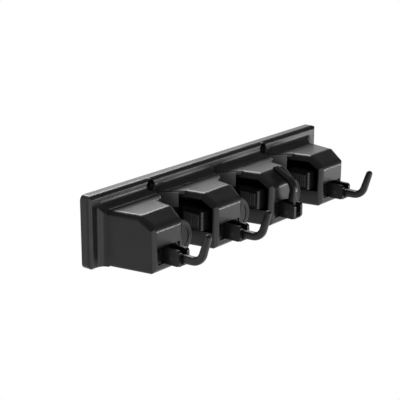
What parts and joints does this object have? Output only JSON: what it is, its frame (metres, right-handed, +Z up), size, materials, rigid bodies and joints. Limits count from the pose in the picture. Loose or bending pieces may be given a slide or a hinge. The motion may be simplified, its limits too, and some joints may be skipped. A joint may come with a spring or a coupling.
{
  "type": "wall mop holder rack",
  "caption": "Wall rack that grips mop and broom poles in tapered slots between swinging rubber-faced cams and ribbed pads, with fold-up hooks on the front of its hollow blocks.",
  "frame": {"origin": "midway between the two wall screws, on the wall", "axes": "+X along the rack to the right seen from the front, +Y into the wall, +Z up"},
  "size_m": [0.344, 0.1091, 0.0675],
  "materials": {
    "housing": "satin black moulded plastic",
    "back": "matt black moulded plastic",
    "bracket": "black moulded plastic with a fine grain",
    "hook": "satin black moulded plastic",
    "cam": "matt dark grey moulded plastic",
    "carrier": "satin black moulded plastic",
    "rest": "glossy black moulded plastic",
    "rubber": "black rubber with a tread",
    "steel": "zinc-plated steel",
    "black_steel": "blackened steel"
  },
  "bodies": {
    "rack": {"front_housing": "housing", "back_plate": "back", "rear_screws": "steel", "bracket_screws": "steel", "hook_bracket_1": "bracket", "hook_bracket_2": "bracket", "hook_bracket_3": "bracket", "hook_bracket_4": "bracket", "hook_pin_1": "black_steel", "hook_pin_2": "black_steel", "hook_pin_3": "black_steel", "hook_pin_4": "black_steel", "cam_pin_1": "steel", "cam_pin_2": "steel", "cam_pin_3": "steel", "pad_carrier_1": "carrier", "pad_carrier_2": "carrier", "pad_carrier_3": "carrier", "grip_pad_1": "rubber", "grip_pad_2": "rubber", "grip_pad_3": "rubber", "pole_rest_1": "rest", "pole_rest_2": "rest", "pole_rest_3": "rest"},
    "hook_1_body": {"hook_1": "hook"},
    "hook_2_body": {"hook_2": "hook"},
    "hook_3_body": {"hook_3": "hook"},
    "hook_4_body": {"hook_4": "hook"},
    "cam_1_body": {"cam_arm_1": "cam", "cam_rubber_1": "rubber"},
    "cam_2_body": {"cam_arm_2": "cam", "cam_rubber_2": "rubber"},
    "cam_3_body": {"cam_arm_3": "cam", "cam_rubber_3": "rubber"}
  },
  "joints": [
    {"name": "hook_1_fold", "type": "hinge", "parent": "rack", "child": "hook_1_body", "pos_m": [-0.1195, -0.071, -0.045], "axis": [-1, 0, 0], "range_deg": [0, 80]},
    {"name": "hook_2_fold", "type": "hinge", "parent": "rack", "child": "hook_2_body", "pos_m": [-0.0345, -0.071, -0.045], "axis": [-1, 0, 0], "range_deg": [0, 80]},
    {"name": "hook_3_fold", "type": "hinge", "parent": "rack", "child": "hook_3_body", "pos_m": [0.0505, -0.071, -0.045], "axis": [-1, 0, 0], "range_deg": [-80, 0]},
    {"name": "hook_4_fold", "type": "hinge", "parent": "rack", "child": "hook_4_body", "pos_m": [0.1355, -0.071, -0.045], "axis": [-1, 0, 0], "range_deg": [0, 80]},
    {"name": "cam_1_swing", "type": "hinge", "parent": "rack", "child": "cam_1_body", "pos_m": [-0.1085, -0.04, -0.0485], "axis": [0, -1, 0], "range_deg": [0, 57]},
    {"name": "cam_2_swing", "type": "hinge", "parent": "rack", "child": "cam_2_body", "pos_m": [-0.0235, -0.04, -0.0485], "axis": [0, -1, 0], "range_deg": [0, 57]},
    {"name": "cam_3_swing", "type": "hinge", "parent": "rack", "child": "cam_3_body", "pos_m": [0.0615, -0.04, -0.0485], "axis": [0, -1, 0], "range_deg": [0, 57]}
  ]
}
